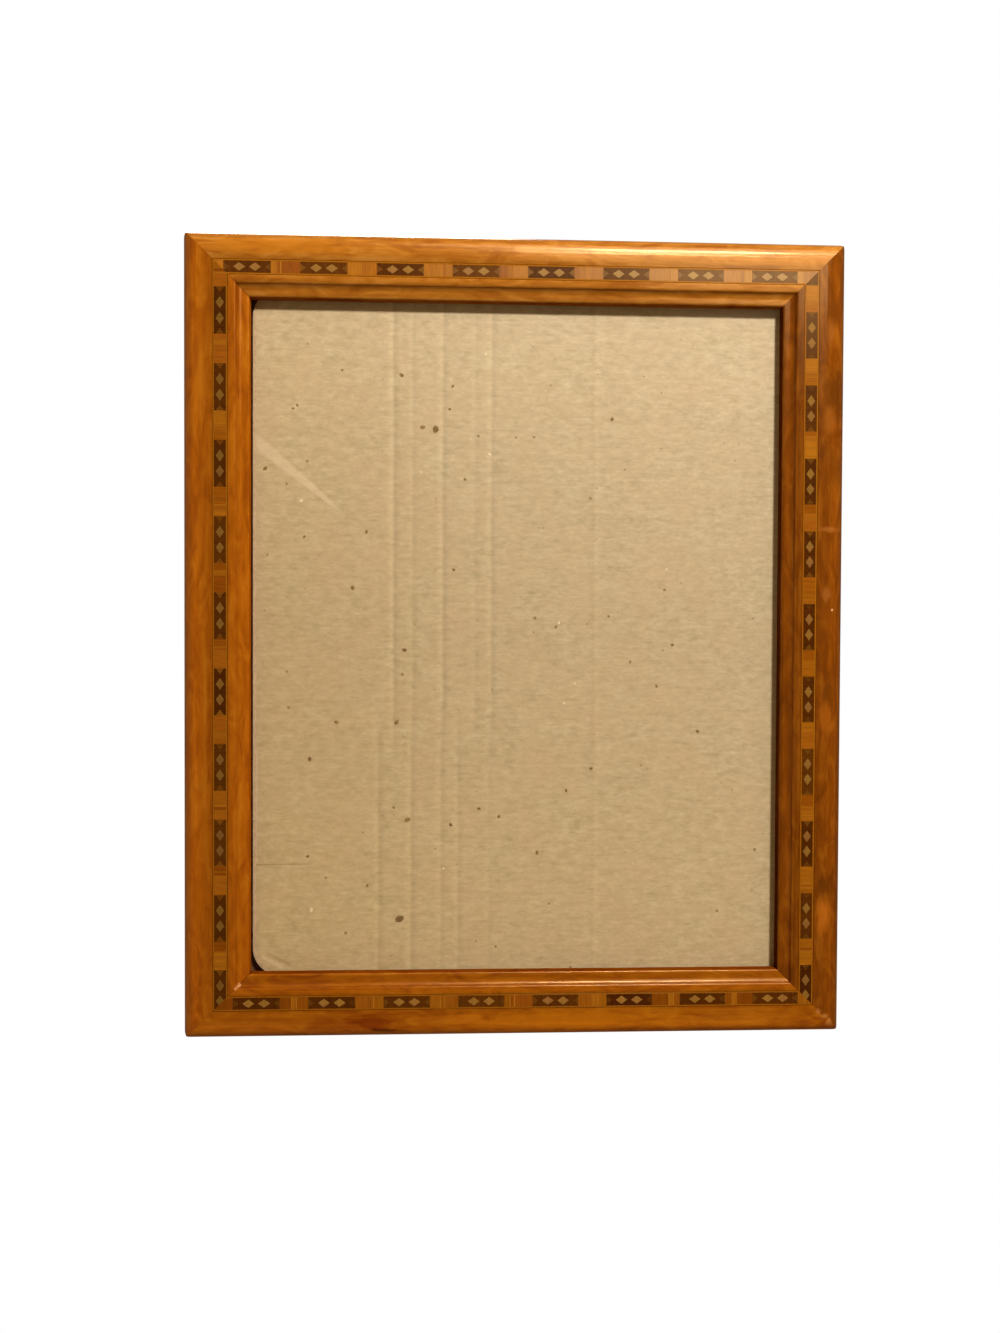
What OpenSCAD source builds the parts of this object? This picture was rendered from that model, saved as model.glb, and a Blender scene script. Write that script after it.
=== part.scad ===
// Inlaid wooden picture frame for an 8 by 10 inch picture, as it hangs on a wall.
// X runs across the frame, Z is up and the front faces -Y.
// The origin is the centre notch of the hanger, on the plane of the frame's back.

/* [Frame] */
// Width of the glass and of the back panel, which sets the frame's width
pane_w = 203.2; // [150:0.1:400]
// Height of the glass and of the back panel, which sets the frame's height
pane_h = 254; // [200:0.1:500]
// Room left round the glass on each side
pane_gap = 1.6; // [0.5:0.1:2.5]
// Width of the moulding, from the outer edge to the sight edge
moulding_w = 24.5; // [24:0.1:36]
// Thickness of the moulding, front to back
moulding_t = 15.9; // [14.5:0.1:24]
// Radius of the sanded outer corners
corner_r = 4; // [0.5:0.1:5]

/* [Moulding profile] */
// Width of the dome, from the outer edge to the flat that carries the inlay
dome_w = 11.3; // [9:0.1:11.6]
// Radius of the dome's crown
crown_r = 19.1; // [14:0.1:40]
// Radius of the dome's outer shoulder
shoulder_r = 8; // [4:0.1:8.8]
// Distance from the sight edge back to the arris of the step
step_w = 5.3; // [5:0.1:6.5]
// Drop from the front flat to the lip
step_d = 2; // [1.4:0.1:2.6]
// Radius of the step's rounded arris
arris_r = 0.8; // [0.3:0.1:1]
// Radius of the cove at the foot of the step
cove_r = 2.4; // [2:0.1:3]
// Radius of the sight edge
sight_r = 0.7; // [0.2:0.1:1.2]
// Width of the rabbet behind the lip
lip_w = 5.3; // [4:0.1:6.5]

/* [Inlaid band] */
// Gap between the foot of the dome and the band's groove
band_inset = 0.15; // [0:0.05:0.3]
// Thickness of the veneer
veneer_t = 0.9; // [0.6:0.05:1.2]
// Glue line left on each side of the band
glue_gap = 0.15; // [0.05:0.01:0.2]
// Width of the pale stringing
stringing_w = 0.5; // [0.3:0.05:0.7]
// Width of the patterned blocks
block_w = 4.3; // [3.6:0.1:4.5]
// Length of one patterned block
block_l = 17; // [14:0.1:20]
// Pitch of the blocks on the bottom, left, top and right rails
block_pitch = [27.4, 27.5, 27.5, 26.9]; // [24:0.1:32]
// First block on the bottom, left, top and right rails, from the rail's leading corner
first_block = [18.8, 21.5, 19.8, 9.6]; // [0:0.1:27]
// Ground left beyond each tip of a diamond, so that twice this lies between two diamonds
tip_gap = 0.65; // [0.1:0.05:1]
// Width of the pale cross lines in a spacer
line_w = 0.45; // [0.3:0.05:0.8]
// Width of the sliver between the two cross lines
sliver_w = 1.2; // [0.6:0.1:2]
// Share of the room in a spacer over which its cross lines wander
line_swing = 0.6; // [0:0.05:0.9]

/* [Glass and backing] */
// Thickness of the glass
glass_t = 2; // [1.5:0.1:3]
// How much narrower than the glass the cardboard is
card_trim = 2.7; // [0:0.1:6]
// Gap between the cardboard and the right and top walls of the rabbet
card_gap = 0.3; // [0.1:0.1:1]
// Thickness of the cardboard
card_t = 3.8; // [3:0.1:5]
// Radius of the cardboard's corners
card_r = 10.3; // [2:0.1:20]
// Pitch of the cardboard's flutes
flute_pitch = 7.9; // [6:0.1:10]
// Thickness of the cardboard's paper
liner_t = 0.35; // [0.2:0.01:0.5]
// Thickness of the hardboard back panel
panel_t = 3.2; // [2:0.1:4]
// How far the back panel lies below the back of the frame
panel_sink = 0.3; // [0.1:0.1:1]
// Radius of the back panel's corners
panel_r = 1.5; // [0.5:0.1:4]

/* [Turn buttons] */
// Distance between a side rail's two turn buttons, as a share of the frame's height
button_share = 0.5; // [0.3:0.05:0.75]
// Distance from the frame's outer edge to the button's screw
button_inset = 11; // [9:0.1:13]
// Distance from the screw to the middle of the button's tip
button_l = 15; // [12:0.1:20]
// Radius of the button's head
button_r = 4.4; // [3.6:0.1:6]
// Radius of the button's tip
button_tip_r = 2.4; // [1.5:0.1:3.5]
// Thickness of the button
button_t = 1.2; // [0.8:0.1:2]
// Gap between the button and the wood it turns over
button_gap = 0.2; // [0.1:0.05:0.4]
// Radial play of the button on its screw
pivot_play = 0.05; // [0.02:0.01:0.1]

/* [Screws and nails] */
// Radius of the button screw's shank
screw_r = 1.4; // [1:0.1:2]
// Length of the screw in the wood
screw_l = 10; // [6:0.1:12]
// Radius of the screw's round head
screw_head_r = 2.9; // [2.4:0.1:3.4]
// Height of the screw's round head
screw_head_h = 1.7; // [1:0.1:2.4]
// Width of the screw's slot
screw_slot_w = 0.7; // [0.4:0.1:1]
// Radius of the hanger nail's shank
nail_r = 0.7; // [0.5:0.05:0.9]
// Length of the hanger nail in the wood
nail_l = 9; // [6:0.1:12]
// Radius of the hanger nail's head
nail_head_r = 1.6; // [1.2:0.1:2]
// Height of the hanger nail's head
nail_head_h = 0.6; // [0.4:0.1:1]
// Length of each leg of a corner nail
vnail_leg = 6; // [4:0.1:6.5]
// Thickness of a corner nail
vnail_t = 0.5; // [0.3:0.1:0.8]
// Depth of a corner nail in the wood
vnail_d = 8; // [5:0.1:10]
// Distance from the outer edges to the first corner nail's elbow
vnail_inset = 3.4; // [3:0.1:4.5]
// Distance between the elbows of a corner's two nails
vnail_step = 7.4; // [6:0.1:8]

/* [Hanger] */
// Length of the sawtooth hanger
hanger_l = 46; // [40:0.5:70]
// Height of the hanger, teeth included
hanger_h = 7.6; // [6:0.1:10]
// Thickness of the hanger's steel
hanger_t = 0.7; // [0.5:0.1:1]
// Length of the raised and toothed middle
hanger_bridge_l = 26; // [20:0.5:30]
// Gap between the wood and the raised middle
hanger_gap = 1.4; // [1:0.1:2.5]
// Length of the slope at each end of the raised middle
hanger_slope_l = 2.4; // [1.5:0.1:3]
// Depth of the teeth
tooth_d = 1.7; // [1:0.1:2.2]
// Number of teeth
tooth_count = 10; // [6:2:14]
// Distance from the frame's top edge to the middle of the hanger
hanger_inset = 9.7; // [8:0.1:12]

/* [Hidden] */
$fn = 48;

// Rails in the order of their quarter turns about Y. Seen from the front, each rail runs
// anticlockwise from its leading corner, and the rail before it in this list follows it.
BOTTOM = 0;
LEFT = 1;
TOP = 2;
RIGHT = 3;
RAILS = [BOTTOM, LEFT, TOP, RIGHT];

// Cutting shapes run past what they cut by this much
cut = 1;
// Degrees between the points of a rounded outline
arc_step = 5;

back_w = moulding_w - lip_w;
frame_w = pane_w + 2 * (pane_gap + back_w);
frame_h = pane_h + 2 * (pane_gap + back_w);
hang_drop = hanger_inset + hanger_h / 2 - tooth_d;
mid_z = hang_drop - frame_h / 2;

// The rabbet is as deep as what it holds: glass, cardboard and back panel, front to back
panel_y = -panel_sink - panel_t;
card_y = panel_y - card_t;
glass_y = card_y - glass_t;
shelf_d = moulding_t + glass_y;
card_w = pane_w - card_trim;

// Profile of the moulding: depth from the front flat, then distance in from the outer edge
shoulder_d = crown_r - sqrt(pow(crown_r - shoulder_r, 2) - pow(dome_w - shoulder_r, 2));
crown_turn = asin((dome_w - shoulder_r) / (crown_r - shoulder_r));
arris_u = moulding_w - step_w;
cove_d = step_d - cove_r;
cove_u = arris_u + sqrt(pow(cove_r + arris_r, 2) - pow(arris_r - cove_d, 2));
arris_turn = atan2(cove_u - arris_u, cove_d - arris_r);

groove_u = dome_w + band_inset;
band_u = groove_u + glue_gap;
block_u = band_u + stringing_w;
groove_w = block_w + 2 * (stringing_w + glue_gap);

// A block is three diamond pitches long: half a diamond, two whole ones and another half
diamond_pitch = block_l / 3;
diamond_half_l = diamond_pitch / 2 - tip_gap;
diamond_half_w = block_w / 2 - tip_gap;
// Steps of this many degrees scatter the cross lines from spacer to spacer
scatter = 97;

tooth_pitch = hanger_bridge_l / (tooth_count + 1);
hanger_tab = (hanger_l - hanger_bridge_l - 2 * hanger_slope_l) / 2;
nail_x = (hanger_l - hanger_tab) / 2;
button_top = button_gap + button_t;
head_gap = 0.1;
// Degrees between the slots of one screw and the next
slot_turn = 37;

function rail_l(i) = i % 2 == 0 ? frame_w : frame_h;
function rail_reach(i) = i % 2 == 0 ? frame_h / 2 : frame_w / 2;

function arc(centre, r, from, to) =
    let (n = max(2, ceil(abs(to - from) / arc_step)))
    [for (k = [0:n]) let (a = from + (to - from) * k / n) centre + r * [cos(a), sin(a)]];

// Puts a child on rail i: X runs along the rail from its leading corner, Z in from the outer edge.
module on_rail(i) {
    translate([0, 0, mid_z])
        rotate([0, 90 * i, 0])
            translate([-rail_l(i) / 2, 0, -rail_reach(i)])
                children();
}

// Puts an outline, drawn along and in from the outer edge, in a sheet of thickness t in front of y.
module sheet(y, t) {
    translate([0, y, 0])
        rotate([90, 0, 0])
            linear_extrude(t)
                children();
}

// Places a turned piece on the back of a rail: its axis leaves the wood.
module on_back(s, u) {
    translate([s, 0, u])
        rotate([-90, 0, 0])
            children();
}

module moulding_profile() {
    translate([-moulding_t, 0])
        difference() {
            polygon(concat(
                [[moulding_t, 0]],
                arc([shoulder_d, shoulder_r], shoulder_r, -90, crown_turn - 180),
                arc([crown_r, dome_w], crown_r, crown_turn - 180, -180),
                arc([arris_r, arris_u], arris_r, 180, arris_turn),
                arc([cove_d, cove_u], cove_r, arris_turn - 180, 0),
                arc([step_d + sight_r, moulding_w - sight_r], sight_r, 180, 90),
                [[shelf_d, moulding_w], [shelf_d, back_w], [moulding_t, back_w]]));
            translate([-cut, groove_u])
                square([cut + veneer_t, groove_w]);
        }
}

// What one rail keeps of its corners: the mitres, and the sanded outer corners.
module mitre_outline(i) {
    l = rail_l(i);
    reach = moulding_w + cut;
    difference() {
        polygon([[-cut, -cut], [l + cut, -cut], [l - reach, reach], [reach, reach]]);
        corner_waste(corner_r);
        translate([l, 0])
            mirror([1, 0])
                corner_waste(corner_r);
    }
}

// What rounding to radius r takes off a corner at the outline's zero point
module corner_waste(r) {
    difference() {
        translate([-2 * cut, -2 * cut])
            square(r + 2 * cut);
        translate([r, r])
            circle(r = r);
    }
}

// A rectangle with its corners rounded
module rounded_outline(w, h, r) {
    difference() {
        square([w, h]);
        for (x = [0, w], y = [0, h])
            translate([x, y])
                mirror([x, 0])
                    mirror([0, y])
                        corner_waste(r);
    }
}

// The two bent nails at a rail's leading corner, run out of the wood by the given length.
module corner_nail_pair(proud) {
    for (k = [0, 1])
        translate([vnail_inset + k * vnail_step, 0, vnail_inset + k * vnail_step])
            sheet(proud, vnail_d + proud) {
                square([vnail_leg, vnail_t]);
                square([vnail_t, vnail_leg]);
            }
}

module rail(i) {
    difference() {
        on_rail(i)
            intersection() {
                rotate([90, 0, 90])
                    linear_extrude(rail_l(i))
                        moulding_profile();
                sheet(cut, moulding_t + 2 * cut)
                    mitre_outline(i);
            }
        on_rail(i)
            corner_nail_pair(cut);
        on_rail((i + 3) % 4)
            corner_nail_pair(cut);
        on_rail(i)
            rail_bores(i);
    }
}

// Pilot holes: two button screws in each side rail, two hanger nails in the top rail.
module rail_bores(i) {
    if (i == LEFT || i == RIGHT)
        for (s = button_places(i))
            on_back(s, button_inset)
                pilot(screw_r, screw_l);
    if (i == TOP)
        for (side = [-1, 1])
            on_back(frame_w / 2 + side * nail_x, hanger_inset)
                pilot(nail_r, nail_l);
}

module pilot(r, l) {
    translate([0, 0, -l])
        cylinder(r = r, h = l + cut);
}

function button_places(i) = [for (side = [-1, 1]) rail_l(i) * (1 + side * button_share) / 2];

// The part of an outline that lies in the band between u and u + w, cut to the rail's mitres.
module band_slice(i, u, w) {
    l = rail_l(i);
    on_rail(i)
        sheet(veneer_t - moulding_t, veneer_t)
            intersection() {
                polygon([[u, u], [l - u, u], [l - u - w, u + w], [u + w, u + w]]);
                children();
            }
}

module stringing(i) {
    for (u = [band_u, block_u + block_w])
        band_slice(i, u, stringing_w)
            square([rail_l(i), moulding_w]);
}

// Enough blocks to run past both mitres of the rail, which cut off what they don't need
function block_run(i) = [-1:ceil(rail_l(i) / block_pitch[i])];
function block_start(i, k) = first_block[i] + k * block_pitch[i];

module diamond() {
    polygon([[-diamond_half_l, 0], [0, -diamond_half_w], [diamond_half_l, 0], [0, diamond_half_w]]);
}

// Every diamond of a block, the halves at its ends run past it
module diamond_row(which) {
    for (k = which)
        translate([k * diamond_pitch, block_w / 2])
            diamond();
}

module ground(i) {
    for (k = block_run(i))
        band_slice(i, block_u, block_w)
            translate([block_start(i, k), block_u])
                difference() {
                    square([block_l, block_w]);
                    diamond_row([0:3]);
                }
}

module diamonds(i) {
    for (k = block_run(i))
        band_slice(i, block_u, block_w)
            translate([block_start(i, k), block_u])
                diamond_row([1, 2]);
}

module half_diamonds(i) {
    for (k = block_run(i))
        band_slice(i, block_u, block_w)
            translate([block_start(i, k), block_u])
                intersection() {
                    square([block_l, block_w]);
                    diamond_row([0, 3]);
                }
}

// Where the first of a spacer's two cross lines starts, from the end of the block before it
function line_start(i, k) =
    ((block_pitch[i] - block_l - sliver_w) / 2 - line_w)
    * (1 + line_swing * sin(scatter * (k + 3 * i)));

module spacers(i) {
    gap = block_pitch[i] - block_l;
    for (k = block_run(i))
        let (a = line_start(i, k), b = a + line_w + sliver_w)
        for (piece = [[0, a], [a + line_w, b], [b + line_w, gap]])
            band_slice(i, block_u, block_w)
                translate([block_start(i, k) + block_l + piece[0], block_u])
                    square([piece[1] - piece[0], block_w]);
}

module cross_lines(i) {
    for (k = block_run(i))
        for (s = [line_start(i, k), line_start(i, k) + line_w + sliver_w])
            band_slice(i, block_u, block_w)
                translate([block_start(i, k) + block_l + s, block_u])
                    square([line_w, block_w]);
}

module glass() {
    color("lightcyan", 0.35)
        translate([-pane_w / 2, glass_y, mid_z - pane_h / 2])
            cube([pane_w, glass_t, pane_h]);
}

// Corrugated board: two liners and the fluted paper between them, its corners rounded.
module cardboard() {
    x = frame_w / 2 - back_w - card_gap - card_w;
    z = mid_z + frame_h / 2 - back_w - card_gap - pane_h;
    color("tan")
        translate([x, 0, z])
            intersection() {
                linear_extrude(pane_h)
                    translate([0, card_y])
                        board_section();
                sheet(card_y + card_t + cut, card_t + 2 * cut)
                    rounded_outline(card_w, pane_h, card_r);
            }
}

module board_section() {
    square([card_w, liner_t]);
    translate([0, card_t - liner_t])
        square([card_w, liner_t]);
    flute_l = card_w / ceil(card_w / flute_pitch);
    steps = 8 * ceil(card_w / flute_pitch);
    swing = (card_t - liner_t) / 2;
    function ridge(k, side) = [
        k * card_w / steps,
        card_t / 2 - swing * cos(360 * k * card_w / steps / flute_l) + side * liner_t / 2];
    intersection() {
        square([card_w, card_t]);
        polygon(concat(
            [for (k = [0:steps]) ridge(k, -1)],
            [for (k = [steps:-1:0]) ridge(k, 1)]));
    }
}

module back_panel() {
    color("saddlebrown")
        translate([-pane_w / 2, 0, mid_z - pane_h / 2])
            sheet(panel_y + panel_t, panel_t)
                rounded_outline(pane_w, pane_h, panel_r);
}

// A flat tapered button on its pivot, its tip towards +Y of the outline
module button_outline() {
    taper = asin((button_r - button_tip_r) / button_l);
    side = [cos(taper), sin(taper)];
    far_side = [-side[0], side[1]];
    tip = [0, button_l];
    difference() {
        union() {
            circle(r = button_r);
            translate(tip)
                circle(r = button_tip_r);
            polygon([button_r * side, tip + button_tip_r * side,
                tip + button_tip_r * far_side, button_r * far_side]);
        }
        circle(r = screw_r + pivot_play);
    }
}

module turn_button(i, place) {
    color("silver")
        on_rail(i)
            translate([button_places(i)[place], 0, button_inset])
                sheet(button_top, button_t)
                    button_outline();
}

// A turned fastener: its shank and point in the wood, its round head as high above it as seat
module fastener(shank_r, shank_l, seat, head_r, head_h) {
    point = 2 * shank_r;
    bulge = (head_r * head_r + head_h * head_h) / (2 * head_h);
    edge = asin(head_r / bulge);
    rotate_extrude()
        polygon(concat(
            [[0, -shank_l], [shank_r, point - shank_l], [shank_r, seat]],
            arc([0, seat + head_h - bulge], bulge, 90 - edge, 90)));
}

module button_screws() {
    seat = button_top + head_gap;
    color("goldenrod")
        for (i = [LEFT, RIGHT])
            on_rail(i)
                for (k = [0, 1])
                    on_back(button_places(i)[k], button_inset)
                        rotate(slot_turn * (i + 2 * k))
                            slotted_screw(seat);
}

module slotted_screw(seat) {
    difference() {
        fastener(screw_r, screw_l, seat, screw_head_r, screw_head_h);
        translate([-screw_head_r, -screw_slot_w / 2, seat + screw_head_h / 2])
            cube([2 * screw_head_r, screw_slot_w, screw_head_h]);
    }
}

// Outline of the hanger's plate from its middle: a strip with teeth along its lower edge
module hanger_outline() {
    body_h = hanger_h - tooth_d;
    translate([-hanger_l / 2, -hanger_h / 2])
        square([hanger_l, body_h]);
    for (k = [0:tooth_count - 1])
        translate([(k - (tooth_count - 1) / 2) * tooth_pitch, hanger_h / 2])
            polygon([[0, 0], [-tooth_pitch / 2, -tooth_d], [-tooth_pitch / 2, -tooth_d - cut],
                [tooth_pitch / 2, -tooth_d - cut], [tooth_pitch / 2, -tooth_d]]);
}

// Edge-on shape of the hanger: two tabs on the wood and a raised bridge between them
module hanger_edge() {
    half = hanger_bridge_l / 2;
    slope = half + hanger_slope_l;
    end = hanger_l / 2;
    polygon([[-end, 0], [-slope, 0], [-half, hanger_gap], [half, hanger_gap], [slope, 0], [end, 0],
        [end, hanger_t], [slope, hanger_t], [half, hanger_gap + hanger_t],
        [-half, hanger_gap + hanger_t], [-slope, hanger_t], [-end, hanger_t]]);
}

module hanger() {
    color("goldenrod")
        on_rail(TOP)
            translate([frame_w / 2, 0, hanger_inset])
                difference() {
                    intersection() {
                        sheet(hanger_gap + hanger_t + cut, hanger_gap + hanger_t + 2 * cut)
                            hanger_outline();
                        translate([0, 0, -hanger_h])
                            linear_extrude(2 * hanger_h)
                                hanger_edge();
                    }
                    for (side = [-1, 1])
                        on_back(side * nail_x, 0)
                            pilot(nail_r, nail_l);
                }
}

module hanger_nails() {
    color("goldenrod")
        on_rail(TOP)
            for (side = [-1, 1])
                on_back(frame_w / 2 + side * nail_x, hanger_inset)
                    fastener(nail_r, nail_l, hanger_t, nail_head_r, nail_head_h);
}

module corner_nails() {
    color("gray")
        for (i = RAILS)
            on_rail(i)
                corner_nail_pair(0);
}

color("peru") rail(BOTTOM);  // rail_bottom
color("peru") rail(LEFT);  // rail_left
color("peru") rail(TOP);  // rail_top
color("peru") rail(RIGHT);  // rail_right
color("wheat") stringing(BOTTOM);  // stringing_bottom
color("wheat") stringing(LEFT);  // stringing_left
color("wheat") stringing(TOP);  // stringing_top
color("wheat") stringing(RIGHT);  // stringing_right
color("#38210f") ground(BOTTOM);  // ground_bottom
color("#38210f") ground(LEFT);  // ground_left
color("#38210f") ground(TOP);  // ground_top
color("#38210f") ground(RIGHT);  // ground_right
color("burlywood") diamonds(BOTTOM);  // diamonds_bottom
color("burlywood") diamonds(LEFT);  // diamonds_left
color("burlywood") diamonds(TOP);  // diamonds_top
color("burlywood") diamonds(RIGHT);  // diamonds_right
color("#6b5a34") half_diamonds(BOTTOM);  // half_diamonds_bottom
color("#6b5a34") half_diamonds(LEFT);  // half_diamonds_left
color("#6b5a34") half_diamonds(TOP);  // half_diamonds_top
color("#6b5a34") half_diamonds(RIGHT);  // half_diamonds_right
color("chocolate") spacers(BOTTOM);  // spacers_bottom
color("chocolate") spacers(LEFT);  // spacers_left
color("chocolate") spacers(TOP);  // spacers_top
color("chocolate") spacers(RIGHT);  // spacers_right
color("moccasin") cross_lines(BOTTOM);  // cross_lines_bottom
color("moccasin") cross_lines(LEFT);  // cross_lines_left
color("moccasin") cross_lines(TOP);  // cross_lines_top
color("moccasin") cross_lines(RIGHT);  // cross_lines_right
glass();
cardboard();
back_panel();
turn_button(LEFT, 0);  // turn_button_left_upper
turn_button(LEFT, 1);  // turn_button_left_lower
turn_button(RIGHT, 1);  // turn_button_right_upper
turn_button(RIGHT, 0);  // turn_button_right_lower
button_screws();
hanger();
hanger_nails();
corner_nails();
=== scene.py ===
"""An inlaid wooden picture frame: its finishes, its cardboard and fittings, its light and its camera."""

import logging
import math
from dataclasses import dataclass
from enum import Enum
from functools import cache
from typing import Any, Iterable

import bmesh
import bpy
from mathutils import Matrix, Vector


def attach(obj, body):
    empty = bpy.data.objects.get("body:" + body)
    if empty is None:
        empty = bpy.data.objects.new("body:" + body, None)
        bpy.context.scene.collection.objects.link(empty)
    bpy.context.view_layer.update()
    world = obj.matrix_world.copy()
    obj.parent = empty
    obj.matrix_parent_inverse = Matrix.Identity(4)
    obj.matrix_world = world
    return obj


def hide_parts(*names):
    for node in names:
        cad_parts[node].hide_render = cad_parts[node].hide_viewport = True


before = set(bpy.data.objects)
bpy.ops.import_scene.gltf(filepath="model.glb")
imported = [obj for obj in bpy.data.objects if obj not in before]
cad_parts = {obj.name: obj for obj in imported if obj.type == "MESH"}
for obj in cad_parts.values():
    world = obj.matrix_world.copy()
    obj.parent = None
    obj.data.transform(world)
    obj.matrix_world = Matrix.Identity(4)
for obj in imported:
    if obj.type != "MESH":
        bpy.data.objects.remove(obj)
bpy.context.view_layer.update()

logging.basicConfig(level=logging.INFO, format="%(message)s")
LOG = logging.getLogger("picture_frame")

Tree = bpy.types.NodeTree
Node = bpy.types.Node
Socket = bpy.types.NodeSocket
Point = tuple[float, float, float]
Colour = tuple[float, float, float, float]
Stops = Iterable[tuple[float, Colour]]
Span = tuple[float, float]
Levels = tuple[Span, ...]
Feeds = dict[str, Any]

MM = 0.001
# In a Map Range node, inputs 1 and 2 are where the range starts and ends, and 3 and 4 what comes out there.
# In a Mix node, 0 is the share, 2 and 3 are its numbers, and 6 and 7 its colours, the second over the first.
COVER = {"data_type": "RGBA"}
GLAZE = {"data_type": "RGBA", "blend_type": "MULTIPLY"}
# nearly all of a noise lies between these two numbers
NOISE_ENDS = (0.3, 0.7)


class Rail(Enum):
    """The four rails, each with the last word in the names of its nodes."""

    BOTTOM = "bottom"
    LEFT = "left"
    TOP = "top"
    RIGHT = "right"

    @property
    def upright(self) -> bool:
        """Whether the rail and its grain run up."""
        return self in (Rail.LEFT, Rail.RIGHT)


def srgb(code: str) -> Colour:
    """Turns an sRGB hex colour to linear light.

    Args:
        code: The colour, such as "#c08040".

    Returns:
        Red, green, blue and an alpha of 1.
    """
    parts = [int(code[i:i + 2], 16) / 255 for i in (1, 3, 5)]
    linear = [c / 12.92 if c <= 0.04045 else ((c + 0.055) / 1.055) ** 2.4 for c in parts]
    return (linear[0], linear[1], linear[2], 1.0)


def grey(value: float) -> Colour:
    """A ramp colour that stands for one number."""
    return (value, value, value, 1.0)


# yellowed gloss varnish
VARNISH = {"IOR": 1.5, "Specular Tint": srgb("#ffe0a8")}


def add_node(
    tree: Tree, kind: str, inputs: dict[str | int, Any] | None = None, stops: Stops = (), **settings: Any
) -> Node:
    """Adds a shader node with its settings and what feeds it.

    Args:
        tree: The node tree that gets the node.
        kind: The node's type, without ShaderNode in front.
        inputs: For each input's name or number, the value, the socket or the node that feeds it, a node from
            its first live output.
        stops: The places and colours of a ramp.
        settings: The node's own settings.

    Returns:
        The new node.
    """
    node = tree.nodes.new("ShaderNode" + kind)
    for name, value in settings.items():
        setattr(node, name, value)
    for name, source in (inputs or {}).items():
        if isinstance(source, Node):
            source = next(socket for socket in source.outputs if socket.enabled)
        if isinstance(source, Socket):
            tree.links.new(source, node.inputs[name])
        else:
            node.inputs[name].default_value = source
    for i, (place, colour) in enumerate(stops):
        # a new ramp has two stops
        element = node.color_ramp.elements[i] if i < 2 else node.color_ramp.elements.new(1.0)
        element.position = place
        element.color = colour
    return node


def ends(span: Span, first: int = 1) -> dict[int, float]:
    """A Map Range node's inputs for the two ends of its range, or from 3 on for what comes out there."""
    return dict(enumerate(span, first))


def add_object(name: str, data: bpy.types.ID) -> bpy.types.Object:
    """Puts a new object in the scene.

    Args:
        name: Its name.
        data: Its mesh, its light or its camera.

    Returns:
        The object.
    """
    made = bpy.data.objects.new(name, data)
    bpy.context.scene.collection.objects.link(made)
    return made


def axes(tree: Tree, kind: str = "Object") -> bpy.types.NodeOutputs:
    """The sockets X, Y and Z of where a point lies, or of where its face looks."""
    return add_node(tree, "SeparateXYZ", {0: add_node(tree, "TexCoord").outputs[kind]}).outputs


def millimetres(tree: Tree, size: Point, turn: bool = False, place: float = 0.0) -> Node:
    """Object coordinates in which one unit is the given size.

    Args:
        tree: The node tree.
        size: How long one unit is along, across and through the grain, in millimetres.
        turn: Whether the grain runs up instead of along X.
        place: How far the pattern is moved, in metres.

    Returns:
        The coordinates.
    """
    along, across, through = (1.0 / (s * MM) for s in size)
    scale = (across, through, along) if turn else (along, through, across)
    where = add_node(tree, "TexCoord").outputs["Object"]
    return add_node(
        tree, "Mapping", {"Vector": where, "Location": tuple(place * s for s in scale), "Scale": scale})


@dataclass(frozen=True)
class Pattern:
    """A pattern in a material, drawn as a noise of the real one's length, width and depth in millimetres."""

    size: Point
    detail: float = 4.0
    roughness: float = 0.5
    distortion: float = 0.0

    def lay(self, tree: Tree, turn: bool = False, place: float = 0.0) -> Node:
        """Lays the pattern over a material.

        Args:
            tree: The node tree.
            turn: Whether it runs up instead of along X.
            place: How far it is moved, in metres.

        Returns:
            The noise.
        """
        where = millimetres(tree, self.size, turn, place)
        return add_node(
            tree, "TexNoise",
            {"Vector": where, "Scale": 1.0, "Detail": self.detail, "Roughness": self.roughness,
             "Distortion": self.distortion})

    def spread(self, tree: Tree, low: float, high: float, turn: bool = False, place: float = 0.0) -> Node:
        """Lays the pattern so that it runs from low to high."""
        noise = self.lay(tree, turn, place)
        return add_node(tree, "MapRange", {0: noise, **ends(NOISE_ENDS), 3: low, 4: high})


@dataclass(frozen=True)
class Finish:
    """What every finish has: a name, and a material built from nodes."""

    name: str

    def paint(self, tree: Tree) -> Feeds:
        """Adds the finish's own nodes.

        Args:
            tree: The node tree.

        Returns:
            What feeds the inputs of its surface shader.
        """
        raise NotImplementedError

    def build(self) -> bpy.types.Material:
        """Makes the material.

        Returns:
            The new material.
        """
        made = bpy.data.materials.new(self.name)
        made.use_nodes = True
        tree = made.node_tree
        tree.nodes.clear()
        shader = add_node(tree, "BsdfPrincipled", self.paint(tree))
        add_node(tree, "OutputMaterial", {"Surface": shader})
        return made


@dataclass(frozen=True)
class Mark:
    """A blotch, a flame or a worn place in the wood, or a painted highlight or glint on it: its middle and
    reach in millimetres, and its tint.
    """

    across: float
    up: float
    wide: float
    high: float
    tint: str
    share: float


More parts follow.
